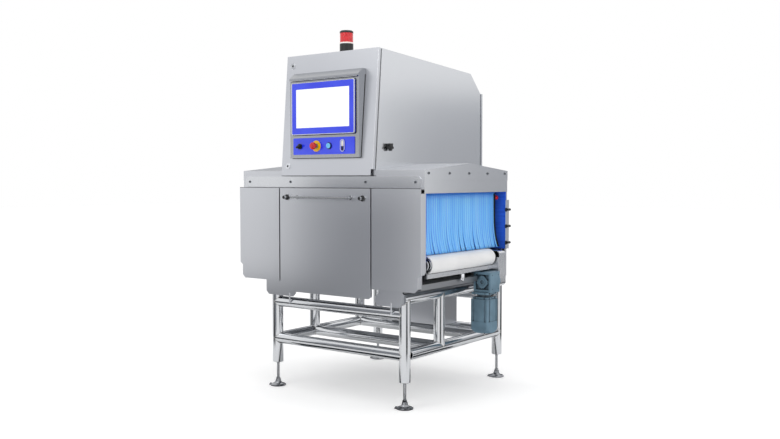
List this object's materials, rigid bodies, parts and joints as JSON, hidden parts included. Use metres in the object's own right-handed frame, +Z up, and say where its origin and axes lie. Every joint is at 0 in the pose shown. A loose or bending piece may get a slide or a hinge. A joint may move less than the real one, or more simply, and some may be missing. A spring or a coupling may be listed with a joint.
{
  "type": "x-ray inspection machine",
  "caption": "X-ray inspection machine for packed food: a belt runs through a curtained shielding tunnel on a stainless tube stand, under a cabinet with a touch panel.",
  "frame": {"origin": "on the floor under the middle of the machine's outline", "axes": "+X along the belt to the exit, +Y from the operator to the rear, +Z up"},
  "size_m": [1.3439, 1.166, 1.9903],
  "materials": {
    "stainless_tube": "polished stainless tube",
    "stainless_sheet": "fine bead-blasted stainless sheet",
    "stainless_bright": "light brushed stainless",
    "dark_sheet": "dark grey sheet",
    "chrome": "polished chrome",
    "motor_paint": "blue-grey machine paint",
    "liner_blue": "blue liner",
    "panel_blue": "glossy deep blue film",
    "belt_white": "white smooth belt",
    "curtain_blue": "light blue flexible curtain",
    "black_plastic": "black plastic",
    "black_rubber": "black rubber",
    "stop_red": "red glossy plastic",
    "stop_yellow": "yellow plastic",
    "reset_blue": "light blue button",
    "lens_red": "red translucent lens",
    "tank_grey": "grey paint"
  },
  "bodies": {
    "machine": {"stand_posts": "stainless_tube", "long_rails": "stainless_tube", "end_rails": "stainless_tube", "support_brackets": "stainless_sheet", "base_tray": "stainless_sheet", "tunnel_walls": "stainless_sheet", "tunnel_liners": "liner_blue", "tunnel_ceiling": "dark_sheet", "tunnel_hood": "stainless_sheet", "hood_flanges": "stainless_bright", "panel_bolts": "stainless_bright", "front_skirt_left": "stainless_sheet", "front_skirt_right": "stainless_sheet", "rear_panels": "stainless_sheet", "ring_pins": "black_plastic", "curtain_rods": "stainless_bright", "tunnel_lamp": "lens_red", "door_pivots": "stainless_bright", "conveyor_frame": "stainless_sheet", "slider_bed": "stainless_sheet", "conveyor_belt": "belt_white", "roller_bearings": "black_plastic", "detector_housing": "stainless_sheet", "gearbox": "motor_paint", "motor": "motor_paint", "motor_cable": "black_rubber", "drive_cover": "stainless_bright", "timing_belt": "black_rubber", "drive_box": "stainless_sheet", "upper_cabinet": "stainless_bright", "rear_cover": "stainless_bright", "beacon_base": "black_plastic", "beacon_lens": "lens_red", "xray_generator": "tank_grey"},
    "foot_front_left": {"foot_front_left": "stainless_bright"},
    "foot_front_right": {"foot_front_right": "stainless_bright"},
    "foot_rear_left": {"foot_rear_left": "stainless_bright"},
    "foot_rear_right": {"foot_rear_right": "stainless_bright"},
    "exit_curtain": {"exit_curtain": "curtain_blue"},
    "infeed_curtain": {"infeed_curtain": "curtain_blue"},
    "inspection_door": {"inspection_door": "stainless_sheet", "door_handle": "chrome"},
    "knob_left": {"door_knob_left": "black_plastic"},
    "knob_right": {"door_knob_right": "black_plastic"},
    "drive_roller": {"drive_roller": "chrome"},
    "idler_roller": {"idler_roller": "chrome"},
    "gearbox_pulley": {"gearbox_pulley": "stainless_bright"},
    "cabinet_door": {"cabinet_door": "stainless_sheet", "door_gasket": "black_rubber", "door_fittings": "chrome", "hmi_housing": "stainless_sheet", "touch_screen": "panel_blue", "control_plate": "panel_blue", "estop_collar": "stop_yellow"},
    "lock_top": {"lock_core_top": "black_plastic"},
    "lock_bottom": {"lock_core_bottom": "black_plastic"},
    "side_knob": {"side_knob": "black_plastic"},
    "selector": {"rotary_switch": "black_plastic"},
    "stop_button": {"estop_button": "stop_red"},
    "reset_button": {"reset_button": "reset_blue"}
  },
  "joints": [
    {"name": "foot_front_left_screw", "type": "slide", "parent": "machine", "child": "foot_front_left", "axis": [0, 0, -1], "range_m": [0, 0.05]},
    {"name": "foot_rear_left_screw", "type": "slide", "parent": "machine", "child": "foot_rear_left", "axis": [0, 0, -1], "range_m": [0, 0.05]},
    {"name": "foot_front_right_screw", "type": "slide", "parent": "machine", "child": "foot_front_right", "axis": [0, 0, -1], "range_m": [0, 0.05]},
    {"name": "foot_rear_right_screw", "type": "slide", "parent": "machine", "child": "foot_rear_right", "axis": [0, 0, -1], "range_m": [0, 0.05]},
    {"name": "exit_curtain_swing", "type": "hinge", "parent": "machine", "child": "exit_curtain", "pos_m": [0.557, -0.09, 1.11415], "axis": [0, 1, 0], "range_deg": [-30, 30]},
    {"name": "infeed_curtain_swing", "type": "hinge", "parent": "machine", "child": "infeed_curtain", "pos_m": [-0.591, -0.09, 1.11415], "axis": [0, 1, 0], "range_deg": [-30, 30]},
    {"name": "inspection_door_hinge", "type": "hinge", "parent": "machine", "child": "inspection_door", "pos_m": [-0.017, -0.531, 0.56715], "axis": [1, 0, 0], "range_deg": [0, 90]},
    {"name": "knob_left_turn", "type": "hinge", "parent": "inspection_door", "child": "knob_left", "pos_m": [-0.283, -0.539, 1.07815], "axis": [0, 1, 0], "continuous": true},
    {"name": "knob_right_turn", "type": "hinge", "parent": "inspection_door", "child": "knob_right", "pos_m": [0.249, -0.539, 1.07815], "axis": [0, 1, 0], "continuous": true},
    {"name": "drive_roller_turn", "type": "hinge", "parent": "machine", "child": "drive_roller", "pos_m": [0.592, -0.09, 0.74315], "axis": [0, 1, 0], "continuous": true},
    {"name": "idler_roller_turn", "type": "hinge", "parent": "machine", "child": "idler_roller", "pos_m": [-0.626, -0.09, 0.74315], "axis": [0, 1, 0], "continuous": true},
    {"name": "gearbox_turn", "type": "hinge", "parent": "machine", "child": "gearbox_pulley", "pos_m": [0.616, -0.09, 0.61215], "axis": [0, 1, 0], "continuous": true},
    {"name": "cabinet_door_hinge", "type": "hinge", "parent": "machine", "child": "cabinet_door", "pos_m": [0.2965, -0.47612, 1.52629], "axis": [0, 0.0842, 0.9964], "range_deg": [0, 90]},
    {"name": "lock_top_turn", "type": "hinge", "parent": "cabinet_door", "child": "lock_top", "pos_m": [-0.291, -0.47272, 1.80399], "axis": [0, 0.9964, -0.0842], "range_deg": [0, 90]},
    {"name": "lock_bottom_turn", "type": "hinge", "parent": "cabinet_door", "child": "lock_bottom", "pos_m": [-0.291, -0.51962, 1.24897], "axis": [0, 0.9964, -0.0842], "range_deg": [0, 90]},
    {"name": "side_knob_turn", "type": "hinge", "parent": "machine", "child": "side_knob", "pos_m": [0.303, -0.389, 1.34715], "axis": [1, 0, 0], "continuous": true},
    {"name": "selector_turn", "type": "hinge", "parent": "cabinet_door", "child": "selector", "pos_m": [-0.182, -0.535, 1.35515], "axis": [0, 1, 0], "range_deg": [0, 90]},
    {"name": "stop_push", "type": "slide", "parent": "cabinet_door", "child": "stop_button", "axis": [0, 1, 0], "range_m": [0, 0.004]},
    {"name": "reset_push", "type": "slide", "parent": "cabinet_door", "child": "reset_button", "axis": [0, 1, 0], "range_m": [0, 0.003], "stiffness_N_per_m": 400, "springref_m": -0.001}
  ],
  "couplings": [
    {"joint": "idler_roller_turn", "follows": "drive_roller_turn", "ratio": 1},
    {"joint": "gearbox_turn", "follows": "drive_roller_turn", "ratio": 1}
  ]
}
